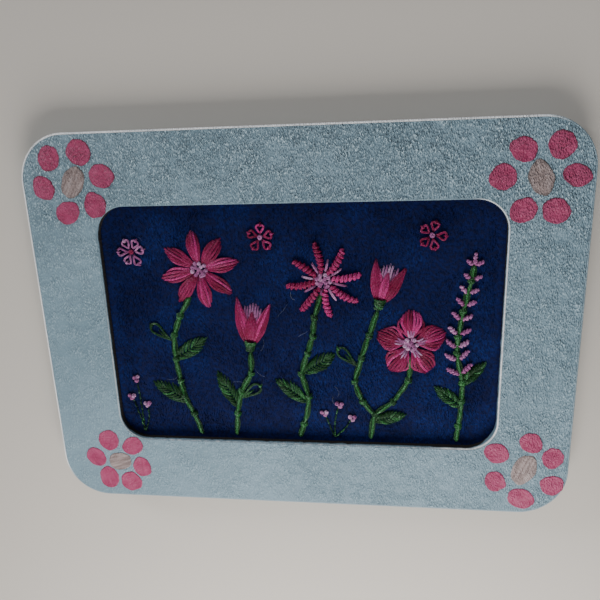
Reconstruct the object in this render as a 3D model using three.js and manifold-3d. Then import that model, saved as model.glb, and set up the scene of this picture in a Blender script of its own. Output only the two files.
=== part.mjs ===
// A small framed embroidery, lying on its back with the picture up: a painted fibreboard frame with
// a rounded window, a velvet ground held in the rabbet behind it, and a plain backing board.
// Millimetres, +Z up. +X runs to the right of the picture and +Y to its top edge. The origin is the
// middle of the outline on the plane of the frame's back.
import * as THREE from "three";
import { mergeVertices } from "three/addons/utils/BufferGeometryUtils.js";
import Module from "manifold-3d";

// ---- Driving dimensions --------------------------------------------------------------------
const windowOpening = { width: 149, height: 95, corner: 11 };
const frame = {
  border: 27, // face width between the window and the outline, the same on all four sides
  corner: 18, // radius of the outline's corners
  thickness: 9,
  lip: 3.6, // front part of the thickness, which the rabbet leaves around the window
  arris: 0.7, // rounding of the sanded edges, front and back
};
const rabbet = { step: 4.5, corner: 3 }; // how far it reaches past the window on each side
const fitGap = 0.3; // play between pieces that lie on or beside each other
const insetCorner = 2.7; // corners of the velvet and the backing, which lie inside the rabbet
const ground = {
  thickness: 1.2,
  crown: 0.8, // how far the velvet swells into the window
  crownStart: 4, // the swelling begins this far inside the window's edge
  crownReach: 18, // and has its full height this far inside
  pucker: 0.15, // height of the soft unevenness that the stitching pulls in
  puckerPitch: { x: 47, y: 36 },
  cells: { x: 30, y: 20 },
};
const backing = { thickness: 3 };
const cornerSteps = 10; // straight steps in each rounded corner
const arrisSteps = 2;

// ---- Sizes worked out from them ------------------------------------------------------------
const outline = {
  width: windowOpening.width + 2 * frame.border,
  height: windowOpening.height + 2 * frame.border,
};
const recess = {
  width: windowOpening.width + 2 * rabbet.step,
  height: windowOpening.height + 2 * rabbet.step,
  depth: frame.thickness - frame.lip,
};
const inset = { width: recess.width - 2 * fitGap, height: recess.height - 2 * fitGap };
const groundTop = recess.depth - fitGap;
const backingTop = groundTop - ground.thickness - fitGap;

// ---- Materials -----------------------------------------------------------------------------
const paintedBoard = new THREE.MeshStandardMaterial({
  color: 0x8fa5ad,
  roughness: 0.75,
  metalness: 0,
});
const velvet = new THREE.MeshStandardMaterial({ color: 0x10244f, roughness: 0.95, metalness: 0 });
const hardboard = new THREE.MeshStandardMaterial({ color: 0x7a5c42, roughness: 0.85, metalness: 0 });

// ---- Outlines ------------------------------------------------------------------------------
// A rectangle with round corners, centred on the origin, run anticlockwise.
function roundedRectangle(width, height, corner, path = new THREE.Shape()) {
  const x = width / 2 - corner;
  const y = height / 2 - corner;
  path.absarc(x, y, corner, 0, Math.PI / 2);
  path.absarc(-x, y, corner, Math.PI / 2, Math.PI);
  path.absarc(-x, -y, corner, Math.PI, 1.5 * Math.PI);
  path.absarc(x, -y, corner, 1.5 * Math.PI, 2 * Math.PI);
  path.closePath();
  return path;
}

// ---- Cutting -------------------------------------------------------------------------------
const wasm = await Module();
wasm.setup();

function toSolid(geometry) {
  const bare = geometry.clone();
  bare.deleteAttribute("normal");
  bare.deleteAttribute("uv");
  const merged = mergeVertices(bare, 1e-4);
  return new wasm.Manifold(
    new wasm.Mesh({
      numProp: 3,
      vertProperties: merged.attributes.position.array,
      triVerts: new Uint32Array(merged.index.array),
    }),
  );
}

function toGeometry(solid) {
  const mesh = solid.getMesh();
  const geometry = new THREE.BufferGeometry();
  geometry.setAttribute("position", new THREE.BufferAttribute(mesh.vertProperties, 3));
  geometry.setIndex(new THREE.BufferAttribute(mesh.triVerts, 1));
  geometry.computeVertexNormals();
  return geometry;
}

// ---- Pieces --------------------------------------------------------------------------------
// One board: its outline and window are cut through and sanded round at both faces, and the rabbet
// is routed into the back.
function frameBoard() {
  const face = roundedRectangle(outline.width, outline.height, frame.corner);
  face.holes.push(
    roundedRectangle(
      windowOpening.width,
      windowOpening.height,
      windowOpening.corner,
      new THREE.Path(),
    ),
  );
  const board = new THREE.ExtrudeGeometry(face, {
    depth: frame.thickness - 2 * frame.arris,
    curveSegments: cornerSteps,
    bevelEnabled: true,
    bevelThickness: frame.arris,
    bevelSize: frame.arris,
    bevelOffset: -frame.arris,
    bevelSegments: arrisSteps,
  });
  board.translate(0, 0, frame.arris);

  const cutPast = 1; // the cutter runs out past the back face
  const cutter = new THREE.ExtrudeGeometry(
    roundedRectangle(recess.width, recess.height, rabbet.corner),
    { depth: recess.depth + cutPast, curveSegments: cornerSteps, bevelEnabled: false },
  );
  cutter.translate(0, 0, -cutPast);
  return toGeometry(toSolid(board).subtract(toSolid(cutter)));
}

// How far inside the window's rounded edge a point of the picture lies.
function insideWindow(x, y) {
  const past = {
    x: Math.abs(x) - windowOpening.width / 2 + windowOpening.corner,
    y: Math.abs(y) - windowOpening.height / 2 + windowOpening.corner,
  };
  const fromCorner = Math.hypot(Math.max(past.x, 0), Math.max(past.y, 0));
  const fromSide = Math.min(Math.max(past.x, past.y), 0);
  return windowOpening.corner - fromCorner - fromSide;
}

// How far the velvet stands above its clamped rim there.
function groundLift(x, y) {
  const share = THREE.MathUtils.smoothstep(insideWindow(x, y), ground.crownStart, ground.crownReach);
  const wave =
    Math.cos((2 * Math.PI * x) / ground.puckerPitch.x) *
    Math.cos((2 * Math.PI * y) / ground.puckerPitch.y);
  return share * (ground.crown + ground.pucker * wave);
}

// One sheet, flat where the lip and the backing clamp it and gently swollen in the window. Its
// square corners are snipped round to lie in the rabbet.
function velvetGround() {
  const { width, height } = inset;
  const { thickness, cells } = ground;
  const sheet = new THREE.BoxGeometry(width, height, thickness, cells.x, cells.y, 1);
  sheet.translate(0, 0, thickness / 2);
  const corner = sheet.attributes.position;
  for (let i = 0; i < corner.count; i++) {
    corner.setZ(i, corner.getZ(i) + groundLift(corner.getX(i), corner.getY(i)));
  }

  const clearance = 2 * ground.crown; // the snipping plate reaches past both faces of the sheet
  const plate = insetPlate(thickness + 2 * clearance);
  plate.translate(0, 0, -clearance);
  return toGeometry(toSolid(sheet).intersect(toSolid(plate)));
}

// A flat plate that lies in the rabbet with play all round.
function insetPlate(depth) {
  return new THREE.ExtrudeGeometry(roundedRectangle(inset.width, inset.height, insetCorner), {
    depth,
    curveSegments: cornerSteps,
    bevelEnabled: false,
  });
}

// ---- Assembly ------------------------------------------------------------------------------
const framedEmbroidery = new THREE.Group();

function addPiece(name, geometry, material, height) {
  const piece = new THREE.Mesh(geometry, material);
  piece.name = name;
  piece.position.z = height;
  framedEmbroidery.add(piece);
}

addPiece("frame_board", frameBoard(), paintedBoard, 0);
addPiece("velvet_ground", velvetGround(), velvet, groundTop - ground.thickness);
addPiece("backing_board", insetPlate(backing.thickness), hardboard, backingTop - backing.thickness);

export default framedEmbroidery;
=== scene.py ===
import math
import random

import bpy
from mathutils import Matrix, Vector, noise


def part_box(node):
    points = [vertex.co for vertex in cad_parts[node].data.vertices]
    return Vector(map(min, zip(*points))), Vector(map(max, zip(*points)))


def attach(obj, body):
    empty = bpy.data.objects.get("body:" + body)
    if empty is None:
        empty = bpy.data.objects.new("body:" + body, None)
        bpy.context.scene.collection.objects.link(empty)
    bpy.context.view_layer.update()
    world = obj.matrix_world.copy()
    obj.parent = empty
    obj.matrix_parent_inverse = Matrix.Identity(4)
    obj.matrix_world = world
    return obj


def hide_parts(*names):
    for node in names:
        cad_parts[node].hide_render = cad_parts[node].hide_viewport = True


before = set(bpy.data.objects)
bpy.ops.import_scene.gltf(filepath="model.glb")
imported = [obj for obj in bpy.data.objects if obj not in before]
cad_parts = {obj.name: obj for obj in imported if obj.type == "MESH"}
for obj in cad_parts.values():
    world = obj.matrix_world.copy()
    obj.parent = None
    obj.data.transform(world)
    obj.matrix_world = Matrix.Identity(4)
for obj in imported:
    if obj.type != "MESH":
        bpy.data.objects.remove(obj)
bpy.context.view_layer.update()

mm = 0.001  # shapes are drawn in millimetres, and turn into metres where a mesh is made
fullTurn = 2 * math.pi


# Sizes: outlines and heights come from the frame, and the board's details are those of its solid

def boxOf(node):
    low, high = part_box(node)
    return Vector(low) / mm, Vector(high) / mm


boardHigh = boxOf("frame_board")[1]
groundLow, groundHigh = boxOf("velvet_ground")

board = {
    "border": 27.0,
    "outerCorner": 18.0,
    "windowCorner": 11.0,
    "lipUnder": 5.4,  # height of the rabbet's ceiling above the back
    "rabbetStep": 4.5,
    "rabbetCorner": 3.0,
    "arris": 0.5,
    "dabRoom": 0.34,  # the face lies this far below the top of the box, to leave room for the dabs
}
outerHalf = Vector((boardHigh.x, boardHigh.y))
windowHalf = outerHalf - Vector((board["border"], board["border"]))
faceHeight = boardHigh.z - board["dabRoom"]


# Small helpers

def smoothstep(low, high, value):
    share = min(max((value - low) / (high - low), 0.0), 1.0)
    return share * share * (3 - 2 * share)


def mix(low, high, share):
    return low + (high - low) * share


def softNoise(x, y, size, seed=0.0):
    return noise.noise(Vector((x / size, y / size, seed)))


def newObject(name, data):
    made = bpy.data.objects.new(name, data)
    bpy.context.scene.collection.objects.link(made)
    return made


def makePiece(name, points, faces, attributes=None):
    mesh = bpy.data.meshes.new(name)
    mesh.from_pydata([Vector(point) * mm for point in points], [], faces)
    mesh.update()
    for label, values in (attributes or {}).items():
        mesh.attributes.new(label, "FLOAT", "POINT").data.foreach_set("value", values)
    mesh.polygons.foreach_set("use_smooth", [True] * len(mesh.polygons))
    return newObject(name, mesh)


def finishPiece(piece, material):
    piece.data.materials.clear()
    piece.data.materials.append(material)
    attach(piece, "root")
    print("made", piece.name, len(piece.data.polygons), "faces")


def linear(red, green, blue):
    # A colour as screens give it, from 0 to 255, turned into the linear one that shaders take.
    values = [channel / 255 for channel in (red, green, blue)]
    return tuple(v / 12.92 if v <= 0.04045 else ((v + 0.055) / 1.055) ** 2.4 for v in values) + (1.0,)


# Node helpers: an input may be given a value or another node's socket

def addNode(tree, kind, inputs=None, **properties):
    node = tree.nodes.new(kind)
    for label, value in properties.items():
        setattr(node, label, value)
    for key, value in (inputs or {}).items():
        if isinstance(value, bpy.types.NodeSocket):
            tree.links.new(value, node.inputs[key])
        else:
            node.inputs[key].default_value = value
    return node


def calc(tree, operation, *values):
    return addNode(tree, "ShaderNodeMath", dict(enumerate(values)), operation=operation).outputs[0]


def calcVector(tree, operation, *values):
    return addNode(tree, "ShaderNodeVectorMath", dict(enumerate(values)), operation=operation).outputs[0]


def scaleVector(tree, vector, amount):
    return addNode(tree, "ShaderNodeVectorMath", {0: vector, "Scale": amount}, operation="SCALE").outputs[0]


def between(tree, value, low, high, to=(0.0, 1.0)):
    inputs = {"Value": value, "From Min": low, "From Max": high, "To Min": to[0], "To Max": to[1]}
    return addNode(tree, "ShaderNodeMapRange", inputs, interpolation_type="SMOOTHSTEP").outputs[0]


def blendColour(tree, share, first, second):
    return addNode(tree, "ShaderNodeMix", {0: share, 6: first, 7: second}, data_type="RGBA").outputs[2]


def newGroup(name, kind, inputs, outputs):
    group = bpy.data.node_groups.new(name, kind)
    for label, (socketType, value) in inputs.items():
        socket = group.interface.new_socket(label, in_out="INPUT", socket_type="NodeSocket" + socketType)
        if value is not None:
            socket.default_value = value
    for label, socketType in outputs.items():
        group.interface.new_socket(label, in_out="OUTPUT", socket_type="NodeSocket" + socketType)
    return group, group.nodes.new("NodeGroupInput").outputs, group.nodes.new("NodeGroupOutput").inputs


def useGroup(tree, group, inputs):
    return addNode(tree, "ShaderNodeGroup", inputs, node_tree=group).outputs


def newMaterial(name, **fixed):
    material = bpy.data.materials.new(name)
    material.use_nodes = True
    shader = material.node_tree.nodes["Principled BSDF"]
    for label, value in fixed.items():
        shader.inputs[label].default_value = value
    return material, material.node_tree, shader.inputs


def objectCoords(tree):
    return addNode(tree, "ShaderNodeTexCoord").outputs["Object"]


def attribute(tree, label, output="Fac"):
    return addNode(tree, "ShaderNodeAttribute", attribute_name=label).outputs[output]


def bumpFrom(tree, height, distance):
    inputs = {"Height": height, "Distance": distance, "Strength": 1.0}
    return addNode(tree, "ShaderNodeBump", inputs).outputs[0]


def cloudNoise(tree, place, scale, detail, output="Fac"):
    inputs = {"Vector": place, "Scale": scale, "Detail": detail}
    return addNode(tree, "ShaderNodeTexNoise", inputs).outputs[output]


# Shader groups that several materials share

def makePatches():
    group, given, result = newGroup(
        "patchyTone",
        "ShaderNodeTree",
        {"Coords": ("Vector", None), "Patch size": ("Float", 0.012), "Grain size": ("Float", 0.001)},
        {"Patches": "Float", "Grain": "Float"},
    )
    for size, output, detail in (("Patch size", "Patches", 3.0), ("Grain size", "Grain", 2.0)):
        spots = cloudNoise(group, given["Coords"], calc(group, "DIVIDE", 1.0, given[size]), detail)
        group.links.new(between(group, spots, 0.3, 0.7), result[output])
    return group


def makeStipple():
    group, given, result = newGroup(
        "rollerStipple",
        "ShaderNodeTree",
        {
            "Coords": ("Vector", None),
            "Grain size": ("Float", 0.0011),
            "Grain height": ("Float", 2.0),
            "Swell height": ("Float", 1.6),
        },
        {"Height": "Float", "Hollows": "Float", "Crests": "Float"},
    )
    scale = calc(group, "DIVIDE", 1.0, given["Grain size"])

    def speckle(squeeze, share):
        # Longer up the board than across it, because the roller ran up and down.
        squeezed = calcVector(group, "MULTIPLY", given["Coords"], (squeeze, 1.0, 1.0))
        return cloudNoise(group, squeezed, calc(group, "MULTIPLY", scale, share), 0.0)

    grain, swell = speckle(2.3, 1.0), speckle(2.2, 0.55)
    height = calc(group, "MULTIPLY", grain, given["Grain height"])
    height = calc(group, "MULTIPLY_ADD", swell, given["Swell height"], height)
    group.links.new(height, result["Height"])
    # Masks for the painted shade in the hollows and the painted highlight on the crests.
    group.links.new(between(group, grain, 0.5, 0.25), result["Hollows"])
    group.links.new(between(group, grain, 0.53, 0.74), result["Crests"])
    return group


def makeFibres():
    # Fine twisted fibres on a ply, drawn from how far along and how far round it a point lies.
    group, given, result = newGroup(
        "threadFibres",
        "ShaderNodeTree",
        {"Coords": ("Vector", None), "Fibres": ("Float", 5.0), "Pitch": ("Float", 0.0011)},
        {"Height": "Float", "Gaps": "Float", "Shine": "Float", "Drift": "Float"},
    )
    around = addNode(group, "ShaderNodeSeparateXYZ", {0: attribute(group, "around", "Vector")}).outputs
    angle = calc(group, "ARCTAN2", around["Y"], around["X"])
    lengthwise = calc(group, "DIVIDE", attribute(group, "along"), given["Pitch"])
    fuzz = cloudNoise(group, given["Coords"], 2600.0, 3.0)
    phase = calc(group, "MULTIPLY", lengthwise, fullTurn)
    phase = calc(group, "MULTIPLY_ADD", angle, given["Fibres"], phase)
    wave = calc(group, "SINE", calc(group, "MULTIPLY_ADD", fuzz, 3.5, phase))
    height = calc(group, "MULTIPLY_ADD", wave, 0.5, fuzz)
    group.links.new(height, result["Height"])
    # Gaps marks the painted shade between fibres, and Shine the painted highlight on their crests.
    group.links.new(between(group, height, 0.45, -0.05), result["Gaps"])
    group.links.new(between(group, height, 0.9, 1.1), result["Shine"])
    drift = cloudNoise(group, given["Coords"], 160.0, 2.0)
    group.links.new(between(group, drift, 0.35, 0.65), result["Drift"])
    return group


patchyTone = makePatches()
rollerStipple = makeStipple()
threadFibres = makeFibres()


# Materials, with sizes in metres as shaders take them

boardFinish = {
    "paint": linear(126, 152, 166),
    "paintDarkAndShade": linear(84, 110, 122),
    "paintHighlight": linear(216, 244, 255),
    # white for worn primer on the outer edge and for painted highlights along the edges
    "primerAndHighlight": linear(255, 255, 255),
    # The cut walls' fibreboard is far darker than the raw back: partly the board's dark cut edge, partly
    # painted shade in the window's recess.
    "fibreboard": linear(40, 26, 20),
    "fibreboardDark": linear(12, 7, 6),
    "rawBack": linear(142, 110, 80),
    "rawBackDark": linear(112, 84, 60),
    "patchShare": 0.35,
    "hollowShadeShare": 0.2,
    "crestHighlightShare": 0.7,
    "stippleSize": 0.00074,
    "stippleBump": 0.0007,
    "roughness": (0.58, 0.92),  # painted and bare
}

dabFinish = {
    "pink": ((154, 42, 86), (106, 14, 54), (200, 96, 136), (96, 6, 44)),  # main, deep, pale and rim; deep and pale also give the painted shade and highlight of the roller's grain, and rim a dark outline that is partly painted shade
    "taupe": ((141, 122, 118), (100, 82, 79), (180, 163, 161), (50, 58, 58)),
    "patchShare": 0.3,
    "strokeShare": 0.5,
    "hollowShadeShare": 0.25,
    "crestHighlightShare": 0.65,
    "rimShare": 0.85,
    "stippleBump": 0.0005,
    "roughness": (0.5, 0.68),  # from smooth to grainy spots
}

cotton = {
    "magenta": ((80, 0, 30), (156, 0, 72), (228, 46, 142), (255, 180, 238)),  # deep, main, pale and shine; deep is also the painted shade between fibres, and shine a painted highlight on their crests
    "lilac": ((112, 40, 94), (204, 114, 178), (248, 196, 242), (255, 242, 255)),
    "green": ((0, 28, 3), (2, 62, 10), (40, 128, 48), (200, 244, 210)),
    "lint": ((70, 84, 110), (120, 134, 156), (178, 188, 204), (200, 206, 216)),
    "fibres": 4.0,  # round one ply
    "pitch": 0.0013,  # length of one turn of a fibre
    "driftShare": 0.25,
    "gapShadeShare": 0.8,
    "fibreBump": 0.00012,
    "roughness": (0.34, 0.65),  # on a fibre and between two
}

velvetFinish = {
    "cloth": ((3, 9, 37), (6, 17, 69), (17, 41, 110)),  # deep, main and pale, pale being a painted sheen on the brushed streaks
    "nap": ((4, 11, 44), (7, 18, 67), (19, 42, 108)),
    "sheen": linear(46, 76, 150),
    "swirl": 0.012,  # how far the comb marks wander
    "combed": (3200.0, 900.0, 900.0),  # streaks per metre, finer across than along
    "deepShare": 0.7,
    "pileBump": 0.0002,
}

backingFinish = {
    "light": linear(136, 100, 68),
    "dark": linear(98, 68, 44),
    "patch": linear(84, 56, 36),
    "patchShare": 0.3,
    "fibreBump": 0.0001,
}


def stippleShadeAndHighlight(tree, stipple, relief, colour, dark, pale, finish):
    # Painted shade in the roller's hollows and a painted highlight on its crests, stronger where the relief
    # mark is, at the top and right.
    for label, tone, share in (("Hollows", dark, "hollowShadeShare"), ("Crests", pale, "crestHighlightShare")):
        strength = calc(tree, "MULTIPLY", stipple[label], calc(tree, "MULTIPLY", relief, finish[share]))
        colour = blendColour(tree, strength, colour, tone)
    return colour


def boardMaterial():
    finish = boardFinish
    material, tree, shader = newMaterial("rolledPaint")
    coords = objectCoords(tree)
    bare, edge, relief, back = (attribute(tree, label) for label in ("bare", "edge", "relief", "back"))
    tones = useGroup(tree, patchyTone, {"Coords": coords, "Patch size": 0.03, "Grain size": 0.0016})
    stipple = useGroup(tree, rollerStipple, {"Coords": coords, "Grain size": finish["stippleSize"]})
    patches = calc(tree, "MULTIPLY", tones["Patches"], finish["patchShare"])
    paint = blendColour(tree, patches, finish["paint"], finish["paintDarkAndShade"])
    paint = stippleShadeAndHighlight(tree, stipple, relief, paint, finish["paintDarkAndShade"], finish["paintHighlight"], finish)
    # White on the outer edge is a little worn primer and a painted highlight; on the window's edges it is
    # painted highlight.
    paint = blendColour(tree, edge, paint, finish["primerAndHighlight"])
    raw = useGroup(tree, patchyTone, {"Coords": coords, "Patch size": 0.004, "Grain size": 0.0004})
    fibres = blendColour(tree, raw["Grain"], finish["fibreboardDark"], finish["fibreboard"])
    backFibres = blendColour(tree, raw["Grain"], finish["rawBackDark"], finish["rawBack"])
    fibres = blendColour(tree, back, fibres, backFibres)
    tree.links.new(blendColour(tree, bare, paint, fibres), shader["Base Color"])
    tree.links.new(between(tree, bare, 0.0, 1.0, finish["roughness"]), shader["Roughness"])
    height = calc(tree, "MULTIPLY", stipple["Height"], relief)
    height = calc(tree, "MULTIPLY_ADD", calc(tree, "MULTIPLY", raw["Grain"], bare), 0.8, height)
    tree.links.new(bumpFrom(tree, height, finish["stippleBump"]), shader["Normal"])
    return material


def dabMaterial(name, tones):
    finish = dabFinish
    main, deep, pale, rim = (linear(*tone) for tone in tones)
    material, tree, shader = newMaterial(name)
    coords = objectCoords(tree)
    patchy = useGroup(tree, patchyTone, {"Coords": coords, "Patch size": 0.004, "Grain size": 0.0007})
    stipple = useGroup(tree, rollerStipple, {"Coords": coords, "Grain size": boardFinish["stippleSize"]})
    stroke, relief = attribute(tree, "stroke"), attribute(tree, "relief")
    colour = blendColour(tree, calc(tree, "MULTIPLY", patchy["Patches"], finish["patchShare"]), main, pale)
    for end, tone in ((0.9, pale), (0.1, deep)):
        strength = between(tree, stroke, 0.5, end, (0.0, finish["strokeShare"]))
        colour = blendColour(tree, strength, colour, tone)
    colour = stippleShadeAndHighlight(tree, stipple, relief, colour, deep, pale, finish)
    outline = calc(tree, "MULTIPLY", attribute(tree, "rim"), finish["rimShare"])
    colour = blendColour(tree, outline, colour, rim)
    tree.links.new(colour, shader["Base Color"])
    tree.links.new(between(tree, patchy["Grain"], 0.0, 1.0, finish["roughness"]), shader["Roughness"])
    height = calc(tree, "MULTIPLY", stipple["Height"], relief)
    tree.links.new(bumpFrom(tree, height, finish["stippleBump"]), shader["Normal"])
    return material


def threadMaterial(name, tones):
    finish = cotton
    deep, main, pale, shine = (linear(*tone) for tone in tones)
    material, tree, shader = newMaterial(name, **{"Specular IOR Level": 0.3})
    coords = objectCoords(tree)
    inputs = {"Coords": coords, "Fibres": finish["fibres"], "Pitch": finish["pitch"]}
    fibres = useGroup(tree, threadFibres, inputs)
    tone = attribute(tree, "tone")
    colour = blendColour(tree, between(tree, tone, 0.55, 1.0), main, pale)
    colour = blendColour(tree, between(tree, tone, 0.5, 0.0, (0.0, 0.35)), colour, deep)
    colour = blendColour(tree, calc(tree, "MULTIPLY", fibres["Drift"], finish["driftShare"]), colour, pale)
    # Painted shade between the fibres, and a painted highlight on their crests.
    colour = blendColour(tree, calc(tree, "MULTIPLY", fibres["Gaps"], finish["gapShadeShare"]), colour, deep)
    paintedShine = calc(tree, "MULTIPLY", fibres["Shine"], between(tree, tone, 0.2, 1.0, (0.15, 0.9)))
    colour = blendColour(tree, paintedShine, colour, shine)
    tree.links.new(colour, shader["Base Color"])
    tree.links.new(between(tree, fibres["Gaps"], 0.0, 1.0, finish["roughness"]), shader["Roughness"])
    tree.links.new(bumpFrom(tree, fibres["Height"], finish["fibreBump"]), shader["Normal"])
    return material


def velvetMaterial(name, tones):
    finish = velvetFinish
    deep, main, pale = (linear(*tone) for tone in tones)
    material, tree, shader = newMaterial(name, **{
        "Roughness": 0.9,
        "Sheen Weight": 0.45,
        "Sheen Roughness": 0.35,
        "Sheen Tint": finish["sheen"],
        "Specular IOR Level": 0.2,
    })
    coords = objectCoords(tree)
    patchy = useGroup(tree, patchyTone, {"Coords": coords, "Patch size": 0.02, "Grain size": 0.0012})
    swirl = cloudNoise(tree, coords, 55.0, 1.0, "Color")
    bent = calcVector(tree, "ADD", coords, scaleVector(tree, swirl, finish["swirl"]))
    combed = calcVector(tree, "MULTIPLY", bent, finish["combed"])
    streaks = cloudNoise(tree, combed, 1.0, 3.0)
    # Pale streaks where the pile was brushed: a painted sheen.
    brushed = between(tree, patchy["Patches"], 0.45, 0.95, (0.1, 0.8))
    lit = calc(tree, "MULTIPLY", between(tree, streaks, 0.4, 0.75), brushed)
    deepShare = between(tree, patchy["Grain"], 0.0, 1.0, (0.0, finish["deepShare"]))
    colour = blendColour(tree, lit, blendColour(tree, deepShare, main, deep), pale)
    tree.links.new(colour, shader["Base Color"])
    height = calc(tree, "MULTIPLY_ADD", patchy["Grain"], 0.5, streaks)
    tree.links.new(bumpFrom(tree, height, finish["pileBump"]), shader["Normal"])
    return material


def hardboardMaterial():
    finish = backingFinish
    material, tree, shader = newMaterial("hardboard", Roughness=0.7)
    coords = objectCoords(tree)
    patchy = useGroup(tree, patchyTone, {"Coords": coords, "Patch size": 0.01, "Grain size": 0.0005})
    colour = blendColour(tree, patchy["Grain"], finish["dark"], finish["light"])
    patches = calc(tree, "MULTIPLY", patchy["Patches"], finish["patchShare"])
    tree.links.new(blendColour(tree, patches, colour, finish["patch"]), shader["Base Color"])
    tree.links.new(bumpFrom(tree, patchy["Grain"], finish["fibreBump"]), shader["Normal"])
    return material


rolledPaint = boardMaterial()
dabPaints = {colour: dabMaterial(colour + "Dab", dabFinish[colour]) for colour in ("pink", "taupe")}
threads = {colour: threadMaterial(colour + "Cotton", cotton[colour])
           for colour in ("magenta", "lilac", "green")}
lintHair = threadMaterial("lint", cotton["lint"])
navyVelvet = velvetMaterial("navyVelvet", velvetFinish["cloth"])
napFibres = velvetMaterial("navyNap", velvetFinish["nap"])
hardboard = hardboardMaterial()
print("materials ready")


# Frame board: one ring of cross-sections round the window, with the roller's relief in the mesh

ringSteps = {"long": 256, "short": 164, "arc": 44}  # points along each side and round each corner

roller = {
    "tooth": 0.395,  # how rough it left the middle of the board, 1 being full tooth
    "toRight": 0.12,  # what is added towards the right, the top, and along the upper border
    "toTop": 0.15,
    "upperBorder": 0.3375,
    "patches": 0.5,  # how uneven it is in wide and in narrow patches
    "smallPatches": 0.7,
    "toothLimits": (0.12, 1.7),
    "hump": 1.3,  # width of one hump
    "humpStretch": 1.5,  # how much longer it is up the board than across it
    "humpHeight": 0.1,
    "drop": 0.04,  # how far the humps' middle lies below the face
}

wearAndHighlight = {
    "bead": 0.1,  # how far the bead of paint stands out
    "beadBand": 9.0,  # the strip inside the window's edge over which it fades in
    "rawBand": 7.0,
    "fray": 0.03,  # how uneven the window's cut is
    "crumb": 0.22,  # how far paint crumbs stand out of it
    "paintDepth": 0.75,  # how far down the cut the paint ran
    "rightDepth": 2.4,  # and how much further on the right and on the raw side
    "rawDepth": 0.45,
    "beadHighlight": 1.4,  # painted highlights: how white the bead, the hair line on the window's edge and the raw cut's edge are painted
    "hairLineHighlight": 0.8,
    "cutHighlight": 0.45,
    "rimHumps": 0.15,  # shares of the humps that the white rim and the arris keep
    "arrisHumps": 0.1,
    "whiteLine": (0.28, 0.15),  # where the outer white line, worn primer and painted highlight, starts and is full, inside the arris
    "grain": {"rim": 0.35, "outerArris": 0.35, "windowArris": 0.35, "windowWall": 0.35, "side": 0.5},
    "backGrain": 0.15,  # the grain above is a share of the roller's, and this is the same all over
}


def roundedContour(half, corner):
    # Points run anticlockwise, and a point's number stands for the same place on every contour.
    innerX = half.x - corner
    innerY = half.y - corner
    sides = (
        (innerX, innerY, 0, (-innerX, innerY), ringSteps["long"]),
        (-innerX, innerY, 1, (-innerX, -innerY), ringSteps["short"]),
        (-innerX, -innerY, 2, (innerX, -innerY), ringSteps["long"]),
        (innerX, -innerY, 3, (innerX, innerY), ringSteps["short"]),
    )
    points = []
    for x, y, quarter, nextCentre, steps in sides:
        for i in range(ringSteps["arc"]):
            angle = (quarter + i / ringSteps["arc"]) * fullTurn / 4
            points.append(Vector((x + corner * math.cos(angle), y + corner * math.sin(angle))))
        angle = (quarter + 1) * fullTurn / 4
        reach = corner * Vector((math.cos(angle), math.sin(angle)))
        for i in range(steps):
            points.append(Vector((x, y)).lerp(Vector(nextCentre), i / steps) + reach)
    return points


def reliefStrength(x, y):
    # The roller left more tooth at the top and right than at the lower left.
    across, upward = x / outerHalf.x, y / outerHalf.y
    tooth = roller["tooth"] + roller["toRight"] * across + roller["toTop"] * upward
    tooth += roller["upperBorder"] * smoothstep(0.2, 0.95, upward)
    patches = 1 + roller["patches"] * softNoise(x, y, 11, 3.0)
    patches += roller["smallPatches"] * softNoise(x, y, 4, 4.0)
    least, most = roller["toothLimits"]
    return min(max(tooth * patches, least), most)


def rollerRelief(x, y):
    humps = softNoise(x, y / roller["humpStretch"], roller["hump"], 1.0)
    return reliefStrength(x, y) * roller["humpHeight"] * humps - roller["drop"]


def nearEdge(half, reach, band):
    # Fades in over a band inside the window's edge, and is full 1 mm from it.
    return smoothstep(half - band, half - 1, reach)


def rightShare(x, y):
    # Grows from a hair line at the top right corner to a full bead at the bottom one.
    return nearEdge(windowHalf.x, x, wearAndHighlight["beadBand"]) * mix(0.16, 1.0, smoothstep(34, -34, y))


def lowerShare(x, y):
    # Only the lower right corner is beaded; the rest of the lower edge is ragged.
    return nearEdge(windowHalf.y, -y, wearAndHighlight["beadBand"]) * mix(0.06, 1.0, smoothstep(44, 64, x))


def beadShare(x, y):
    # Paint gathered in an uneven bead along the window's right and lower edges.
    return max(rightShare(x, y), lowerShare(x, y)) * mix(0.45, 1.0, 0.5 + softNoise(x, y, 3.2, 8.0))


def rawShare(x, y):
    # The lower edge was cut after painting, and nothing covers it up to the bead in its right corner.
    return nearEdge(windowHalf.y, -y, wearAndHighlight["rawBand"]) * smoothstep(58, 42, x)


def crumbShare(x, y):
    return rawShare(x, y) * max(softNoise(x, y, 1.8, 9.0), 0.0)


def paintDepthAt(x, y):
    # How far down the window's wall the paint ran.
    right, raw = rightShare(x, y), rawShare(x, y)
    depth = wearAndHighlight["paintDepth"] + wearAndHighlight["rightDepth"] * right + wearAndHighlight["rawDepth"] * raw
    return depth + (0.5 + 1.5 * right) * softNoise(x, y, 3.4, 5.0) + 0.4 * raw * softNoise(x, y, 1.9, 9.0)


def primerAndHighlightShare(x, y):
    # A little worn white primer all round, and a painted highlight along the outer edge, mostly at the top
    # and on the left.
    upperLeft = smoothstep(0.04, 0.22, y / outerHalf.y - x / outerHalf.x)
    return 0.06 + upperLeft * (0.94 + 0.4 * softNoise(x, y, 9.0, 6.0))


def oversprayShare(x, y):
    # Paint ran a little way over the back's rim.
    inward = insideOutline(x, y, outerHalf, board["outerCorner"])
    ragged = 1.6 + 1.1 * softNoise(x, y, 2.8, 7.0)
    return smoothstep(ragged + 0.4, ragged - 0.4, inward)


def windowRing(out):
    return roundedContour(windowHalf + Vector((out, out)), board["windowCorner"] + out)


def outerRing(inset):
    return roundedContour(outerHalf - Vector((inset, inset)), board["outerCorner"] - inset)


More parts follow.
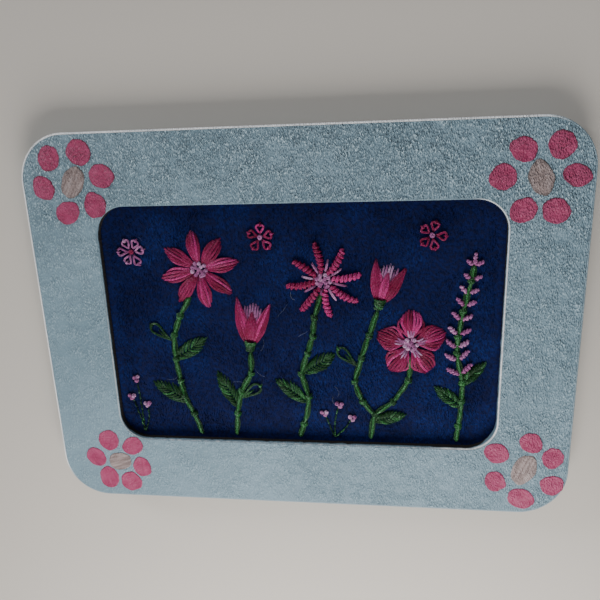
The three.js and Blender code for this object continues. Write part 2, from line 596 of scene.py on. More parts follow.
def boardRings():
    # Each ring is (contour, height, place), place being where on the section it runs.
    steps = {"wall": 5, "arris": 4, "face": 56, "side": 7, "back": 10}
    arris = board["arris"]
    wallTop = faceHeight - arris
    arcs = [fullTurn / 4 * i / steps["arris"] for i in range(1, steps["arris"])]
    rabbetHalf = windowHalf + Vector((board["rabbetStep"], board["rabbetStep"]))
    rabbet = roundedContour(rabbetHalf, board["rabbetCorner"])
    rings = []
    for i in range(steps["wall"] + 1):
        rings.append((windowRing(0), mix(board["lipUnder"], wallTop, i / steps["wall"]), "windowWall"))
    for angle in arcs:
        contour = windowRing(arris * (1 - math.cos(angle)))
        rings.append((contour, wallTop + arris * math.sin(angle), "windowArris"))
    inner, outer = windowRing(arris), outerRing(arris)
    for i in range(steps["face"]):
        contour = [a.lerp(b, i / steps["face"]) for a, b in zip(inner, outer)]
        rings.append((contour, faceHeight, "face"))
    lineStart, lineFull = wearAndHighlight["whiteLine"]
    rings.append((outerRing(arris + lineStart), faceHeight, "face"))
    rings.append((outerRing(arris + lineFull), faceHeight, "rim"))
    rings.append((outer, faceHeight, "rim"))
    for angle in reversed(arcs):
        contour = outerRing(arris * (1 - math.cos(angle)))
        rings.append((contour, wallTop + arris * math.sin(angle), "outerArris"))
    for i in range(steps["side"] + 1):
        rings.append((outerRing(0), mix(wallTop, arris, i / steps["side"]), "side"))
    for angle in arcs:
        contour = outerRing(arris * (1 - math.cos(angle)))
        rings.append((contour, arris * (1 - math.sin(angle)), "backArris"))
    for i in range(steps["back"] + 1):
        share = (i / steps["back"]) ** 1.8  # rings lie closer at the rim
        rings.append(([a.lerp(b, share) for a, b in zip(outer, rabbet)], 0.0, "back"))
    rings.append((rabbet, board["lipUnder"] / 2, "rabbet"))
    rings.append((rabbet, board["lipUnder"], "rabbet"))
    return rings


def windowCut(x, y, height):
    # How bare the cut is, how far paint and fibres stand out of it, and how much painted highlight its edge
    # gets where the light catches the bead, the hair line and the raw cut.
    depth = faceHeight - height
    bead = beadShare(x, y)
    ragged = paintDepthAt(x, y)
    bareness = smoothstep(ragged - 0.25, ragged + 0.25, depth)
    push = wearAndHighlight["bead"] * bead * smoothstep(1.8, 0.3, depth)
    push += wearAndHighlight["fray"] * softNoise(x, y, 1.5, height)
    push += wearAndHighlight["crumb"] * crumbShare(x, y) * smoothstep(1.6, 0.2, depth)
    # Painted highlights: white along the window's right edge and lower left, on the bead and on the raw
    # cut's edge.
    highlightHairLine = smoothstep(windowHalf.x - 14, windowHalf.x - 5, x)
    highlightHairLine += 0.5 * smoothstep(windowHalf.x - 14, windowHalf.x - 5, -x) * smoothstep(25, -15, y)
    highlightHairLine *= smoothstep(0.5, 0.1, depth)
    cutHighlightLine = rawShare(x, y) * smoothstep(0.6, 0.1, depth) * (0.5 + softNoise(x, y, 1.6, 9.0))
    beadHighlightLine = bead * smoothstep(0.9, 0.25, depth)
    whiteAndHighlight = max(wearAndHighlight["beadHighlight"] * beadHighlightLine, wearAndHighlight["hairLineHighlight"] * highlightHairLine, wearAndHighlight["cutHighlight"] * cutHighlightLine)
    return bareness, push, whiteAndHighlight


def makeBoard():
    points = []
    marks = {"bare": [], "edge": [], "relief": [], "back": []}
    rings = boardRings()
    for contour, height, place in rings:
        for spot in contour:
            x, y = spot
            lift = bareness = whiteAndHighlight = 0.0
            if place in ("face", "rim"):
                nearWindow = smoothstep(2.2, 0.4, -insideWindow(x, y))
                lift = rollerRelief(x, y) + nearWindow * (wearAndHighlight["bead"] * beadShare(x, y))
                if place == "rim":
                    whiteAndHighlight = primerAndHighlightShare(x, y)
                    lift *= wearAndHighlight["rimHumps"]
            elif place in ("windowArris", "windowWall"):
                bareness, push, whiteAndHighlight = windowCut(x, y, height)
                spot = spot - push * outwardOf(spot)
            elif place == "outerArris":
                whiteAndHighlight = primerAndHighlightShare(x, y)
                lift = wearAndHighlight["arrisHumps"] * rollerRelief(x, y)
            elif place in ("backArris", "back"):
                bareness = 1 - oversprayShare(x, y)
            elif place == "rabbet":
                bareness = 1.0
            points.append((spot[0], spot[1], height + lift))
            marks["bare"].append(bareness)
            marks["edge"].append(min(max(whiteAndHighlight, 0.0), 1.0))
            grain = reliefStrength(x, y) * wearAndHighlight["grain"].get(place, 1.0)
            marks["relief"].append(wearAndHighlight["backGrain"] if place == "back" else grain)
            marks["back"].append(1.0 if place in ("backArris", "back") else 0.0)
    count = len(rings[0][0])
    faces = []
    for ring in range(len(rings)):
        following = (ring + 1) % len(rings)
        for i in range(count):
            j = (i + 1) % count
            faces.append((ring * count + j, ring * count + i, following * count + i, following * count + j))
    return makePiece("painted_board", points, faces, marks)


def insideOutline(x, y, half, corner):
    # How far inside a rounded outline a point lies; negative outside it.
    pastX = abs(x) - half.x + corner
    pastY = abs(y) - half.y + corner
    fromCorner = math.hypot(max(pastX, 0.0), max(pastY, 0.0))
    return corner - fromCorner - min(max(pastX, pastY), 0.0)


def insideWindow(x, y):
    return insideOutline(x, y, windowHalf, board["windowCorner"])


def outwardOf(spot):
    # The way from the window out into the board, square to the wall at this point of it.
    corner = board["windowCorner"]
    inner = Vector((
        min(max(spot[0], corner - windowHalf.x), windowHalf.x - corner),
        min(max(spot[1], corner - windowHalf.y), windowHalf.y - corner),
    ))
    return (Vector(spot) - inner).normalized()


paintedBoard = makeBoard()
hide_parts("frame_board")
finishPiece(paintedBoard, rolledPaint)


# Dabs of paint in the corners: six dots round an oval, thick at the rim where the paint drew back

dabs = {
    "thickness": 0.16,
    "middle": 0.75,  # a dab's middle, the ridge round it and its brush marks, as shares of the thickness
    "ridge": 0.45,
    "brush": 0.5,
    "under": 0.25,  # how far the hidden underside lies below the face
    "rings": 11,
    "steps": 96,
    "dot": 4.5,  # half width
    "wobble": (0.13, 0.08),  # how far the outline strays, in wide and in narrow waves
    "tail": (-0.1, 0.16),  # and how far one side of a dot is dented or drawn out
    "teeth": 0.045,  # how the outline breaks over the roller's humps
    "fuzz": 0.012,
    "grain": 0.85,  # share of the roller's grain that shows through
    "corners": (  # inset is from the board's corner, in widths of its border, and oval is in half widths
        {"name": "upper_left", "side": (-1, 1), "inset": (0.75, 0.65), "ring": 11.5, "turn": 10,
         "oval": (6.5, 4.25), "tilt": 60},
        {"name": "upper_right", "side": (1, 1), "inset": (0.65, 0.75), "ring": 12.0, "turn": 0,
         "oval": (6.25, 4.25), "tilt": 110},
        {"name": "lower_left", "side": (-1, -1), "inset": (0.9, 0.6), "ring": 10.0, "turn": -10,
         "oval": (5.0, 4.0), "tilt": 15},
        {"name": "lower_right", "side": (1, -1), "inset": (0.6, 0.7), "ring": 12.0, "turn": 25,
         "oval": (6.5, 4.5), "tilt": 70},
    ),
}


def newDabs():
    return {"points": [], "faces": [], "rim": [], "relief": [], "stroke": []}


def dabMesh(store, centre, halfLength, halfWidth, tilt, seed, stroke, tail=0.0):
    # tail is how far the brush drew one side out, or dented it.
    first = len(store["points"])
    rings, steps, thickness = dabs["rings"], dabs["steps"], dabs["thickness"]
    wide, narrow = dabs["wobble"]
    axis = Vector((math.cos(tilt), math.sin(tilt)))
    across = Vector((-axis.y, axis.x))

    def strokeAt(spot):
        # Bristle marks run along the dab.
        away = spot - centre
        return softNoise(away.dot(axis) / 7 + seed, away.dot(across), 0.75, seed)

    def onPaint(spot, height):
        return faceHeight + rollerRelief(spot.x, spot.y) + height

    def addPoint(spot, height, rim):
        store["points"].append((spot.x, spot.y, height))
        store["rim"].append(rim)
        store["relief"].append(dabs["grain"] * reliefStrength(spot.x, spot.y))
        store["stroke"].append(0.5 + stroke * strokeAt(spot))

    addPoint(centre, onPaint(centre, thickness * dabs["middle"]), 0.0)
    for ring in range(1, rings + 1):
        share = math.sin(fullTurn / 4 * ring / rings)  # rings crowd together at the rim
        ridge = smoothstep(0.7, 0.93, share) * smoothstep(1.0, 0.97, share)
        for step in range(steps):
            angle = fullTurn * step / steps
            around = Vector((math.cos(angle), math.sin(angle), 0.0))
            drawn = around + Vector((0.0, 0.0, seed))
            wobble = 1 + wide * noise.noise(drawn * 0.8) + narrow * noise.noise(drawn * 1.9)
            wobble += tail * max(math.cos(angle - 5 * seed), 0.0) ** 12
            edge = centre + axis * halfLength * wobble * around.x + across * halfWidth * wobble * around.y
            teeth = dabs["teeth"] * reliefStrength(edge.x, edge.y) * softNoise(edge.x, edge.y, 0.75, 1.0)
            reach = share * (wobble + (teeth + dabs["fuzz"] * noise.noise(drawn * 9.0)) * share)
            spot = centre + axis * halfLength * reach * around.x + across * halfWidth * reach * around.y
            brush = dabs["brush"] * stroke * strokeAt(spot)
            paint = thickness * (dabs["middle"] + dabs["ridge"] * ridge + brush)
            paint *= smoothstep(1.001, 0.965, share)
            # Dark outline round the dab: partly the paint's own darker rim, partly painted shade at its
            # edge, stronger where the roller's relief is.
            outline = smoothstep(0.86, 0.97, share) * min(reliefStrength(spot.x, spot.y), 1.0)
            outline *= mix(0.4, 1.0, smoothstep(-0.2, 0.2, noise.noise(drawn * 1.2)))
            addPoint(spot, onPaint(spot, paint - 0.05 * smoothstep(0.97, 1.0, share)), outline)
    under = len(store["points"])
    addPoint(centre, faceHeight - dabs["under"], 0.0)
    last = first + 1 + (rings - 1) * steps
    for step in range(steps):
        following = (step + 1) % steps
        store["faces"].append((first, first + 1 + step, first + 1 + following))
        for ring in range(rings - 1):
            low = first + 1 + ring * steps
            high = low + steps
            store["faces"].append((low + step, high + step, high + following, low + following))
        store["faces"].append((last + following, last + step, under))


def makeDabs():
    pieces = []
    for corner in dabs["corners"]:
        name, ring = corner["name"], corner["ring"]
        rng, tails = random.Random(name), random.Random(name + "_tails")
        centre = Vector([side * (half - inset * board["border"])
                         for side, half, inset in zip(corner["side"], outerHalf, corner["inset"])])
        dots, oval = newDabs(), newDabs()
        for number in range(6):
            angle = math.radians(corner["turn"] + 60 * number + rng.uniform(-5, 5))
            reach = ring * rng.uniform(0.94, 1.06)
            spot = centre + reach * Vector((math.cos(angle), math.sin(angle)))
            size = dabs["dot"] * rng.uniform(0.94, 1.05)
            stretch = rng.uniform(1.0, 1.1)
            tilt, seed = rng.uniform(0, math.pi), rng.uniform(0, 90)
            tail = tails.uniform(*dabs["tail"])
            dabMesh(dots, spot, size * stretch, size / stretch, tilt, seed, 0.3, tail)
        dabMesh(oval, centre, *corner["oval"], math.radians(corner["tilt"]), rng.uniform(0, 90), 1.0)
        pieces += [(name + "_dots", dots, "pink"), (name + "_heart", oval, "taupe")]
    for name, store, colour in pieces:
        marks = {label: store[label] for label in ("rim", "relief", "stroke")}
        piece = makePiece(name, store["points"], store["faces"], marks)
        finishPiece(piece, dabPaints[colour])


makeDabs()


# Velvet: the height of its face, which the stitches follow too

velvet = {
    "thickness": 1.2,
    "crown": 0.8,  # how far the middle swells, between two distances from the window's edge
    "crownStart": 4.0,
    "crownReach": 18.0,
    "pucker": 0.15,  # height and length of the wide waves that the stitches pull in it
    "puckerPitch": (47.0, 36.0),
    "unevenness": 0.12,
    "cell": 0.9,  # width of one cell of its mesh
    "corner": 2.7,
    "holeDepth": 0.45,  # dimple where a thread goes through
    "holeReach": 0.8,
}


def velvetHeight(x, y):
    share = smoothstep(velvet["crownStart"], velvet["crownReach"], insideWindow(x, y))
    pitchX, pitchY = velvet["puckerPitch"]
    wave = math.cos(fullTurn * x / pitchX) * math.cos(fullTurn * y / pitchY)
    uneven = velvet["unevenness"] * softNoise(x, y, 11, 4.0)
    lift = share * (velvet["crown"] + velvet["pucker"] * wave + uneven)
    return groundLow.z + velvet["thickness"] + lift


# Thread: centre lines are drawn here, and Geometry Nodes turn each into a bundle of twisted plies

needleHoles = []  # where threads go through the velvet
threadMarks = ("along", "tone", "phase", "plies", "ply", "spread")  # kept for each point of a thread


def newSkein():
    return {label: [] for label in (*threadMarks, "points", "edges", "lift")}


def layThread(skein, path, thick, rng, plies, lift=None, tone=None):
    # path is a list of 3D points, thick a half width for each, lift the way the thread bulges out.
    first = len(skein["points"])
    phase = rng.random()
    tone = rng.random() if tone is None else tone
    touching = math.sin(math.pi / plies)
    plyShare = touching / (1 + touching) if plies > 1 else 1.0
    along = 0.0
    for i, point in enumerate(path):
        if i:
            along += (Vector(point) - Vector(path[i - 1])).length
            skein["edges"].append((first + i - 1, first + i))
        half = thick[i] if isinstance(thick, list) else thick
        skein["points"].append(tuple(point))
        skein["lift"].extend(lift[i] if lift else (0.0, 0.0, 1.0))
        marks = {"along": along * mm, "tone": tone, "phase": phase, "plies": float(plies),
                 "ply": half * plyShare * mm, "spread": half * (1 - plyShare) * mm}
        for label, value in marks.items():
            skein[label].append(value)


def namedValue(tree, label, dataType="FLOAT"):
    inputs = {"Name": label}
    return addNode(tree, "GeometryNodeInputNamedAttribute", inputs, data_type=dataType).outputs[0]


def realWith(tree, instances, material):
    real = addNode(tree, "GeometryNodeRealizeInstances", {"Geometry": instances}).outputs[0]
    return addNode(tree, "GeometryNodeSetMaterial", {"Geometry": real, "Material": material}).outputs[0]


def makeThreadTree():
    tree, given, result = newGroup(
        "twistedPlies",
        "GeometryNodeTree",
        {
            "Centre lines": ("Geometry", None),
            "Turns per metre": ("Float", 45.0),
            "Flatness": ("Float", 0.75),
            "Looseness": ("Float", 0.00008),
            "Sides": ("Int", 6),
            "Seed": ("Int", 5),
            "Thread": ("Material", None),
        },
        {"Threads": "Geometry"},
    )
    plies, along, phase = (namedValue(tree, label) for label in ("plies", "along", "phase"))
    lines = addNode(tree, "GeometryNodeMeshToCurve", {"Mesh": given["Centre lines"]}).outputs[0]
    inputs = {"Geometry": lines, "Amount": plies}
    copies = addNode(tree, "GeometryNodeDuplicateElements", inputs, domain="SPLINE")
    number = copies.outputs["Duplicate Index"]
    tangent = addNode(tree, "GeometryNodeInputTangent").outputs[0]
    lift = namedValue(tree, "lift", "FLOAT_VECTOR")
    across = calcVector(tree, "NORMALIZE", calcVector(tree, "CROSS_PRODUCT", tangent, lift))
    up = calcVector(tree, "CROSS_PRODUCT", across, tangent)
    turns = calc(tree, "MULTIPLY_ADD", along, given["Turns per metre"], calc(tree, "DIVIDE", number, plies))
    angle = calc(tree, "MULTIPLY", calc(tree, "ADD", turns, phase), fullTurn)
    outward = scaleVector(tree, up, calc(tree, "MULTIPLY", calc(tree, "SINE", angle), given["Flatness"]))
    spiral = calcVector(tree, "ADD", scaleVector(tree, across, calc(tree, "COSINE", angle)), outward)
    wanderPlace = addNode(tree, "ShaderNodeCombineXYZ", {
        0: calc(tree, "MULTIPLY", along, 260.0),
        1: calc(tree, "MULTIPLY_ADD", phase, 91.0, calc(tree, "MULTIPLY", number, 5.3)),
        2: given["Seed"],
    }).outputs[0]
    wander = cloudNoise(tree, wanderPlace, 1.0, 1.0, "Color")
    wander = scaleVector(tree, calcVector(tree, "SUBTRACT", wander, (0.5, 0.5, 0.5)),
                         calc(tree, "MULTIPLY", given["Looseness"], 2.0))
    offset = calcVector(tree, "ADD", scaleVector(tree, spiral, namedValue(tree, "spread")), wander)
    inputs = {"Geometry": copies.outputs[0], "Offset": offset}
    laid = addNode(tree, "GeometryNodeSetPosition", inputs).outputs[0]
    inputs = {"Resolution": given["Sides"], "Radius": 1.0}
    profile = addNode(tree, "GeometryNodeCurvePrimitiveCircle", inputs)
    marked = addNode(tree, "GeometryNodeStoreNamedAttribute", {
        "Geometry": profile.outputs[0],
        "Name": "around",
        "Value": addNode(tree, "GeometryNodeInputPosition").outputs[0],
    }, data_type="FLOAT_VECTOR", domain="POINT").outputs[0]
    tubes = addNode(tree, "GeometryNodeCurveToMesh", {
        "Curve": laid, "Profile Curve": marked, "Scale": namedValue(tree, "ply"), "Fill Caps": True,
    }).outputs[0]
    smooth = addNode(tree, "GeometryNodeSetShadeSmooth", {"Geometry": tubes}).outputs[0]
    tree.links.new(realWith(tree, smooth, given["Thread"]), result["Threads"])
    return tree


twistedPlies = makeThreadTree()


def growNodes(source, nodeTree, inputs, name):
    # Geometry Nodes run on the source, and what they make becomes a plain mesh in its place.
    modifier = source.modifiers.new("nodes", "NODES")
    modifier.node_group = nodeTree
    for item in nodeTree.interface.items_tree:
        if item.in_out == "INPUT" and item.name in inputs:
            modifier[item.identifier] = inputs[item.name]
    graph = bpy.context.evaluated_depsgraph_get()
    grown = source.evaluated_get(graph)
    mesh = bpy.data.meshes.new_from_object(grown, preserve_all_data_layers=True, depsgraph=graph)
    mesh.name = name
    leftOver = source.data
    bpy.data.objects.remove(source)
    bpy.data.meshes.remove(leftOver)
    return newObject(name, mesh)


def spinThreads(name, skein, material, slotName, **settings):
    mesh = bpy.data.meshes.new(name + "_lines")
    mesh.from_pydata([Vector(point) * mm for point in skein["points"]], skein["edges"], [])
    for label in threadMarks:
        mesh.attributes.new(label, "FLOAT", "POINT").data.foreach_set("value", skein[label])
    mesh.attributes.new("lift", "FLOAT_VECTOR", "POINT").data.foreach_set("vector", skein["lift"])
    lines = newObject(name + "_lines", mesh)
    piece = growNodes(lines, twistedPlies, {"Thread": material, **settings}, name)
    for label in [a.name for a in piece.data.attributes]:
        if label in ("phase", "plies", "ply", "spread", "lift"):
            piece.data.attributes.remove(piece.data.attributes[label])
    finishPiece(piece, material)
    return piece


# Stitches, each drawn on the velvet between points of the picture

sunk = {"stitch": -0.7, "tie": -0.6}  # the height at which a thread ends, below the velvet's face

petalShapes = {  # root and point are how wide the ends are, and widest is how far along the bulge lies
    "daisy": {"width": 5.4, "stitches": 5, "root": 0.3, "point": 0.62, "rise": 0.6, "widest": 0.6,
              "blunt": 0.0},
    "blossom": {"width": 9.4, "stitches": 9, "root": 0.2, "point": 0.74, "rise": 0.7, "widest": 0.68,
                "blunt": 1.0},
    "tulipSide": {"width": 4.6, "stitches": 5, "root": 0.4, "point": 0.2, "rise": 0.9, "widest": 0.45,
                  "blunt": 0.0},
    "tulipFront": {"width": 4.8, "stitches": 5, "root": 0.5, "point": 0.3, "rise": 1.4, "widest": 0.5,
                   "blunt": 0.0},
}


def flat(x, y):
    return Vector((x, y, 0.0))


def turned(angle, reach=1.0):
    return Vector((math.cos(angle) * reach, math.sin(angle) * reach, 0.0))


def sideOf(direction):
    return Vector((-direction.y, direction.x, 0.0)).normalized()


def onVelvet(spot, height):
    return (spot.x, spot.y, velvetHeight(spot.x, spot.y) + height)


def straightStitch(skein, start, end, rng, thick, rise, bow=0.0, widest=0.5, plies=4):
    # A thread comes up at start, arches over the velvet and goes down at end.
    steps = max(7, round((end - start).length / 1.15))
    side = sideOf(end - start)
    path, widths = [], []
    for i in range(steps + 1):
        t = 0.5 - 0.5 * math.cos(math.pi * i / steps)
        shifted = t ** (math.log(0.5) / math.log(widest))
        swell = math.sin(math.pi * t) ** 0.45
        spot = start.lerp(end, t) + side * bow * math.sin(math.pi * shifted)
        path.append(onVelvet(spot, mix(sunk["stitch"], rise, swell)))
        widths.append(thick * mix(0.55, 1.0, swell))
    layThread(skein, path, widths, rng, plies)
    needleHoles.extend(((start.x, start.y), (end.x, end.y)))


def satinPetal(skein, base, tip, kind, rng, widthShare=1.0):
    # Long stitches side by side from base to tip; the middle ones are laid last and lie highest.
    shape = petalShapes[kind]
    width, root, point, blunt = shape["width"] * widthShare, shape["root"], shape["point"], shape["blunt"]
    axis = (tip - base).normalized()
    side = sideOf(axis)
    middle = (shape["stitches"] - 1) / 2
    for number in sorted(range(shape["stitches"]), key=lambda n: -abs(n - middle)):
        place = (number - middle) / middle
        outer = abs(place)
        half = width / 2 - 0.45
        start = base + side * place * half * root + axis * rng.uniform(-0.3, 0.3)
        drawBack = outer ** mix(1.6, 2.8, blunt) * width * mix(0.38, 0.26, blunt)
        end = tip + side * place * half * point - axis * (drawBack + rng.uniform(-0.35, 0.45))
        bow = place * half * (1 - (root + point) / 2) * rng.uniform(0.88, 1.08)
        thick, rise = rng.uniform(0.5, 0.62), shape["rise"] + 0.45 * (1 - outer)
        straightStitch(skein, start, end, rng, thick, rise, bow, shape["widest"])


def fishboneLeaf(skein, base, tip, width, rng):
    # Slanting pairs of stitches that cross at the vein, laid from the tip down.
    pairs = 9
    axis = (tip - base).normalized()
    side = sideOf(axis)
    straightStitch(skein, base.lerp(tip, 0.62), tip, rng, 0.45, 0.5)
    for number in reversed(range(pairs)):
        share = number / (pairs - 1)
        outer, inner = mix(0.2, 0.93, share), mix(-0.06, 0.66, share)
        for hand in (1, -1):
            half = width / 2 * math.sin(math.pi * outer) ** 0.8
            rim = base.lerp(tip, outer) + side * hand * half * rng.uniform(0.92, 1.08)
            vein = base.lerp(tip, inner) - side * hand * 0.3
            straightStitch(skein, rim, vein, rng, 0.44, 0.5 + 0.1 * hand, hand * -0.25)


def chainLoop(skein, base, tip, width, rng, thick=0.48):
    # A loop held down by one small stitch over its tip.
    axis = tip - base
    side = sideOf(axis)
    steps = 22
    path, widths = [], []
    for i in range(steps + 1):
        t = i / steps
        out = math.sin(math.pi * t)
        spot = base + axis * out ** 0.85 + side * width / 2 * math.sin(fullTurn * t) * out ** 0.4
        swell = min(1.0, out * 4) ** 0.5
        path.append(onVelvet(spot, mix(sunk["stitch"], 0.5, swell)))
        widths.append(thick * mix(0.6, 1.0, swell))
    layThread(skein, path, widths, rng, 3)
    needleHoles.append((base.x, base.y))
    unit = axis.normalized()
    straightStitch(skein, tip - unit * 0.7, tip + unit * 0.75, rng, thick * 0.9, 1.0, plies=3)


def bullionStitch(skein, base, tip, rng, core=1.0, thick=0.62, pitch=1.55, bow=0.0):
    # A coil of thread wound on the needle and laid down over its own filling, core being its half width.
    axis = tip - base
    side = sideOf(axis)
    turns = axis.length / pitch
    stepsPerTurn = 13
    steps = round(turns * stepsPerTurn)
    phase = rng.random() * fullTurn

    def spine(t):
        spot = base + axis * t + side * bow * math.sin(math.pi * t)
        arch = math.sin(math.pi * min(max(t, 0.0), 1.0)) ** 0.5
        return Vector(onVelvet(spot, mix(0.25, 0.85, arch)))

    path, widths, lift = [], [], []
    tone = rng.random()
    for i in range(steps + 1):
        t = i / steps
        along = (spine(t + 0.01) - spine(t - 0.01)).normalized()
        across = along.cross(Vector((0, 0, 1))).normalized()
        up = across.cross(along)
        angle = phase + fullTurn * turns * t + 0.35 * math.sin(turns * t * 2.1 + phase)
        outward = across * math.cos(angle) + up * math.sin(angle)
        swell = math.sin(math.pi * mix(0.06, 0.94, t)) ** 0.3
        radius = core * swell * (1 + 0.06 * math.sin(turns * t * 1.3 + 2 * phase))
        path.append(spine(t) + outward * radius)
        widths.append(thick * mix(0.75, 1.0, swell))
        lift.append(tuple(outward))
    layThread(skein, path, widths, rng, 3, lift, tone)
    shares = [i / 10 for i in range(11)]
    filling = [spine(mix(-0.02, 1.02, share)) for share in shares]
    widths = [core * 0.85 * math.sin(math.pi * mix(0.12, 0.88, share)) ** 0.5 for share in shares]
    layThread(skein, filling, widths, rng, 1, tone=0.2)
    needleHoles.extend(((base.x, base.y), (tip.x, tip.y)))


def knotStitch(skein, spot, size, rng):
    # A French knot: two turns that climb and close over the hole they sit on.
    turns = 1.9
    steps = 24
    phase = rng.random() * fullTurn
    lean = turned(rng.random() * fullTurn, 0.12 * size)
    path, widths, lift = [], [], []
    for i in range(steps + 1):
        t = i / steps
        angle = phase + fullTurn * turns * t
        reach = size * (0.56 if t < 0.6 else mix(0.56, 0.1, (t - 0.6) / 0.4))
        height = size * mix(0.2, 1.0, smoothstep(0.0, 0.85, t))
        if i == 0:
            reach, height = 0.1, sunk["tie"]
        if i == steps:
            reach, height = 0.0, size * 0.5
        outward = turned(angle)
        place = spot + outward * reach + lean * t
        path.append(onVelvet(place, height))
        widths.append(size * 0.4)
        lift.append((outward.x * 0.8, outward.y * 0.8, 0.6))
    layThread(skein, path, widths, rng, 3, lift)
    needleHoles.append((spot.x, spot.y))


def smoothRoute(spots, spacing):
    # Catmull-Rom curve through a few chosen spots.
    padded = [spots[0] * 2 - spots[1], *spots, spots[-1] * 2 - spots[-2]]
    route = []
    for a, b, c, d in zip(padded, padded[1:], padded[2:], padded[3:]):
        steps = max(2, round((c - b).length / spacing))
        for i in range(steps):
            t = i / steps
            route.append(0.5 * (2 * b + (c - a) * t + (2 * a - 5 * b + 4 * c - d) * t * t
                                + (3 * b - a - 3 * c + d) * t ** 3))
    return route + [spots[-1]]


def tieStitch(skein, spot, along, half, rng, rise, thick):
    # One short stitch over the stem, from side to side.
    side = sideOf(along)
    slant = along.normalized() * rng.uniform(-0.4, 0.4)
    path = []
    for i in range(11):
        angle = math.pi * i / 10
        reach = side * half * math.cos(angle)
        place = spot + reach + slant * math.cos(angle)
        path.append(onVelvet(place, mix(sunk["tie"], rise, math.sin(angle) ** 0.7)))
    layThread(skein, path, thick, rng, 3, tone=rng.uniform(0.5, 1.0))


stems = {
    "strands": 3,
    "strandTones": (0.15, 1.0, 0.5),
    "strand": 0.46,  # half width of one strand
    "half": 1.2,  # half width of the bundle between two knots
    "knotEvery": 9.5,
    "kink": 0.8,  # how far a knot may pull the stem aside
    "straightness": 0.6,  # how far the threads pull straight from knot to knot
}


def laidStem(skein, spots, rng):
    # Long strands laid side by side, pinched and kinked where small knots hold them down.
    curve = smoothRoute([flat(*spot) for spot in spots], 0.7)
    last = len(curve) - 1
    count = max(2, round(last * 0.7 / stems["knotEvery"]))
    knots = [round(last * (i + rng.uniform(-0.2, 0.2)) / count) for i in range(1, count)]
    stops = [0, *knots, last]
    kinks = [0.0, *(rng.uniform(0.4, 1.0) * stems["kink"] * rng.choice((-1, 1)) for _ in knots), 0.0]
    headings = [(curve[min(i + 1, last)] - curve[max(i - 1, 0)]).normalized() for i in range(last + 1)]
    corners = [curve[stop] + sideOf(headings[stop]) * kink for stop, kink in zip(stops, kinks)]
    route, pinches = [], []
    for k in range(len(stops) - 1):
        span = stops[k + 1] - stops[k]
        for i in range(span):
            t = i / span
            shift = (corners[k] - curve[stops[k]]).lerp(corners[k + 1] - curve[stops[k + 1]], t)
            straight = corners[k].lerp(corners[k + 1], t)
            route.append((curve[stops[k] + i] + shift).lerp(straight, stems["straightness"]))
            pinches.append(mix(0.12, 1.0, math.sin(math.pi * t) ** 0.8))
    route.append(corners[-1])
    pinches.append(0.2)
    strands = stems["strands"]
    for strand in range(strands):
        place = (strand - (strands - 1) / 2) / ((strands - 1) / 2)
        seed = rng.uniform(0, 60)
        path, widths = [], []
        for i, (spot, pinch) in enumerate(zip(route, pinches)):
            heading = (route[min(i + 1, last)] - route[max(i - 1, 0)]).normalized()
            wander = 0.42 * pinch * softNoise(i * 0.7, seed, 4.5)
            sway = place * (stems["half"] - stems["strand"]) * pinch + wander
            dive = smoothstep(0, 3, min(i, last - i))
            height = mix(sunk["stitch"], 0.42 + 0.45 * (1 - abs(place)) + 0.2 * (1 - pinch), dive)
            path.append(onVelvet(spot + sideOf(heading) * sway, height))
            widths.append(stems["strand"] * mix(0.62, 1.0, dive * smoothstep(0.1, 0.7, pinch)))
        tone = stems["strandTones"][strand % len(stems["strandTones"])] * rng.uniform(0.8, 1.0)
        layThread(skein, path, widths, rng, 3, tone=tone)
    for knot, corner in zip(stops[1:-1], corners[1:-1]):
        heading = (route[knot + 1] - route[knot - 1]).normalized()
        wraps = rng.choice((2, 3, 3))
        for turn in range(wraps):
            middle = corner + heading * 0.62 * (turn - (wraps - 1) / 2)
            bulge = 1.0 - 0.18 * abs(turn - (wraps - 1) / 2)
            tieStitch(skein, middle, heading, 1.2 * bulge, rng, 1.75 * bulge, 0.5)
    return route


def wrappedCup(skein, spot, along, half, length, rng):
    # Bands wound side by side over the top of a stem, swelling towards the flower.
    pitch = 0.8
    count = round(length / pitch)
    for number in range(count):
        share = number / max(count - 1, 1)
        place = spot + along.normalized() * number * pitch
        tieStitch(skein, place, along, half * mix(0.75, 1.1, share), rng, mix(1.3, 1.9, share), 0.46)


# Flowers

def petalAngles(petals, turn, sway, rng):
    # Gives one angle at a time, so each petal's other random draws come between its angle and the next.
    for number in range(petals):
        yield math.radians(turn) + fullTurn * number / petals + rng.uniform(-sway, sway)


def satinDaisy(skeins, centre, radius, petals, turn, rng):
    for angle in petalAngles(petals, turn, 0.06, rng):
        reach = radius * rng.uniform(0.93, 1.04)
        base = centre + turned(angle, 2.4)
        tip = centre + turned(angle + rng.uniform(-0.05, 0.05), reach)
        satinPetal(skeins["magenta"], base, tip, "daisy", rng, rng.uniform(0.93, 1.06))
    knotHeart(skeins["lilac"], centre, 2.6, rng)


def knotHeart(skein, centre, radius, rng):
    for ring, (reach, count) in enumerate(((radius, 9), (radius * 0.52, 4), (0.0, 1))):
        for number in range(count):
            angle = fullTurn * number / count + rng.uniform(-0.2, 0.2) + ring
            spot = centre + turned(angle, reach * rng.uniform(0.9, 1.08))
            knotStitch(skein, spot, rng.uniform(0.85, 1.05), rng)


def bullionDaisy(skeins, centre, radius, petals, turn, rng):
    for angle in petalAngles(petals, turn, 0.06, rng):
        halfway = angle + fullTurn / petals / 2
        end = centre + turned(halfway, radius * rng.uniform(0.56, 0.66))
        straightStitch(skeins["lilac"], centre + turned(halfway, 3.0), end, rng, 0.5, 0.5)
        base = centre + turned(angle, 3.5)
        tip = centre + turned(angle + rng.uniform(-0.07, 0.07), radius * rng.uniform(0.92, 1.06))
        bullionStitch(skeins["magenta"], base, tip, rng, bow=rng.uniform(-1.0, 1.0))
    knotHeart(skeins["lilac"], centre, 2.5, rng)


